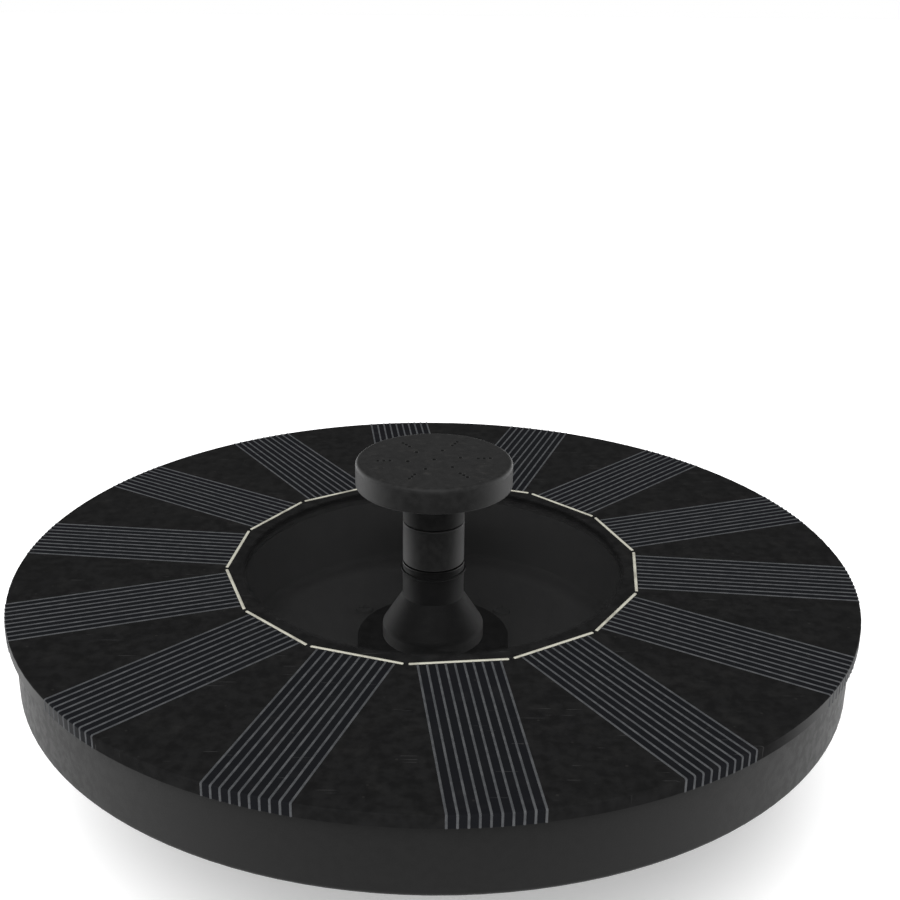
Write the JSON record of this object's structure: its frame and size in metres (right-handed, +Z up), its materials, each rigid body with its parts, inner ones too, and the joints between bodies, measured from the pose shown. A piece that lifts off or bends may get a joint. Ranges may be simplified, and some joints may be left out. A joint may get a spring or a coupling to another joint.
{
  "type": "solar fountain pump",
  "caption": "Floating solar fountain pump: flat round photovoltaic float with a spray head on a short riser and a strainer-guarded pump hung under its middle.",
  "frame": {"origin": "centre of the ground plane that the rubber feet stand on, on the riser's axis", "axes": "+Z up along the riser and the rotor axis; +X to the right and +Y away from a viewer at the front; the water duct is on the -Y side"},
  "size_m": [0.1602, 0.1602, 0.0691],
  "materials": {
    "smoked_panel": "smoked translucent plate, satin top with fine scratches",
    "grid_print": "fine grey raised print",
    "bus_tape": "tinned pale satin tape",
    "cell_silicon": "dark blue-black silicon",
    "board_black": "black glass-fibre board",
    "seal_rubber": "black moulded rubber",
    "float_shell": "black moulded, fine satin grain",
    "foam": "closed-cell foam, matt",
    "driver_green": "green solder mask",
    "chip_epoxy": "black moulded epoxy",
    "can_metal": "drawn can",
    "terminal_plastic": "cream nylon",
    "lead_jacket": "black jacket",
    "hub_plastic": "black, spark-eroded",
    "screw_steel": "black oxide",
    "pipe_plastic": "black satin",
    "pump_plastic": "black moulded",
    "core_steel": "stacked laminations",
    "coil_copper": "enamelled copper wire",
    "magnet": "sintered ferrite",
    "impeller_plastic": "white moulded",
    "shaft_ceramic": "ground ceramic",
    "strainer_plastic": "black moulded",
    "sponge": "open-cell sponge",
    "sleeve_plastic": "dark grey satin",
    "nozzle_plastic": "black satin"
  },
  "bodies": {
    "float": {"top_cover": "smoked_panel", "finger_lines": "grid_print", "bus_bars": "bus_tape", "panel_board": "board_black", "panel_gasket": "seal_rubber", "float_tray": "float_shell", "float_foam": "foam", "driver_board": "driver_green", "driver_chip": "chip_epoxy", "smoothing_capacitor": "can_metal", "lead_terminal": "terminal_plastic", "pump_lead": "lead_jacket", "lead_grommet": "seal_rubber", "lead_gland": "seal_rubber", "pump_hub": "hub_plastic", "hub_seal": "seal_rubber", "hub_screws": "screw_steel", "outlet_pipe": "pipe_plastic", "riser_seal": "seal_rubber", "pump_housing": "pump_plastic", "housing_seal": "seal_rubber", "housing_screws": "screw_steel", "stator_core": "core_steel", "stator_coils": "coil_copper", "potting_layer": "chip_epoxy", "rotor_can": "pump_plastic", "shaft": "shaft_ceramic", "upper_shaft_seat": "seal_rubber", "lower_shaft_seat": "seal_rubber", "volute_cover": "pump_plastic", "volute_screws": "screw_steel", "solar_cell_01": "cell_silicon", "solar_cell_02": "cell_silicon", "solar_cell_03": "cell_silicon", "solar_cell_04": "cell_silicon", "solar_cell_05": "cell_silicon", "solar_cell_06": "cell_silicon", "solar_cell_07": "cell_silicon", "solar_cell_08": "cell_silicon", "solar_cell_09": "cell_silicon", "solar_cell_10": "cell_silicon", "solar_cell_11": "cell_silicon", "solar_cell_12": "cell_silicon", "solar_cell_13": "cell_silicon", "solar_cell_14": "cell_silicon"},
    "rotor": {"impeller": "impeller_plastic", "rotor_magnet": "magnet"},
    "strainer": {"strainer_cover": "strainer_plastic", "filter_sponge": "sponge", "rubber_feet": "seal_rubber"},
    "riser": {"riser_sleeve": "sleeve_plastic", "riser_ring": "seal_rubber", "nozzle_ring": "seal_rubber"},
    "nozzle": {"nozzle_base": "nozzle_plastic", "spray_cap": "nozzle_plastic"}
  },
  "joints": [
    {"name": "rotor_spin", "type": "hinge", "parent": "float", "child": "rotor", "pos_m": [0, 0, 0.012], "axis": [0, 0, 1], "continuous": true},
    {"name": "strainer_twist", "type": "hinge", "parent": "float", "child": "strainer", "pos_m": [0, 0, 0.007], "axis": [0, 0, 1], "range_deg": [0, 20]},
    {"name": "riser_pull", "type": "slide", "parent": "float", "child": "riser", "axis": [0, 0, 1], "range_m": [0, 0.007]},
    {"name": "nozzle_pull", "type": "slide", "parent": "riser", "child": "nozzle", "axis": [0, 0, 1], "range_m": [0, 0.005]}
  ]
}
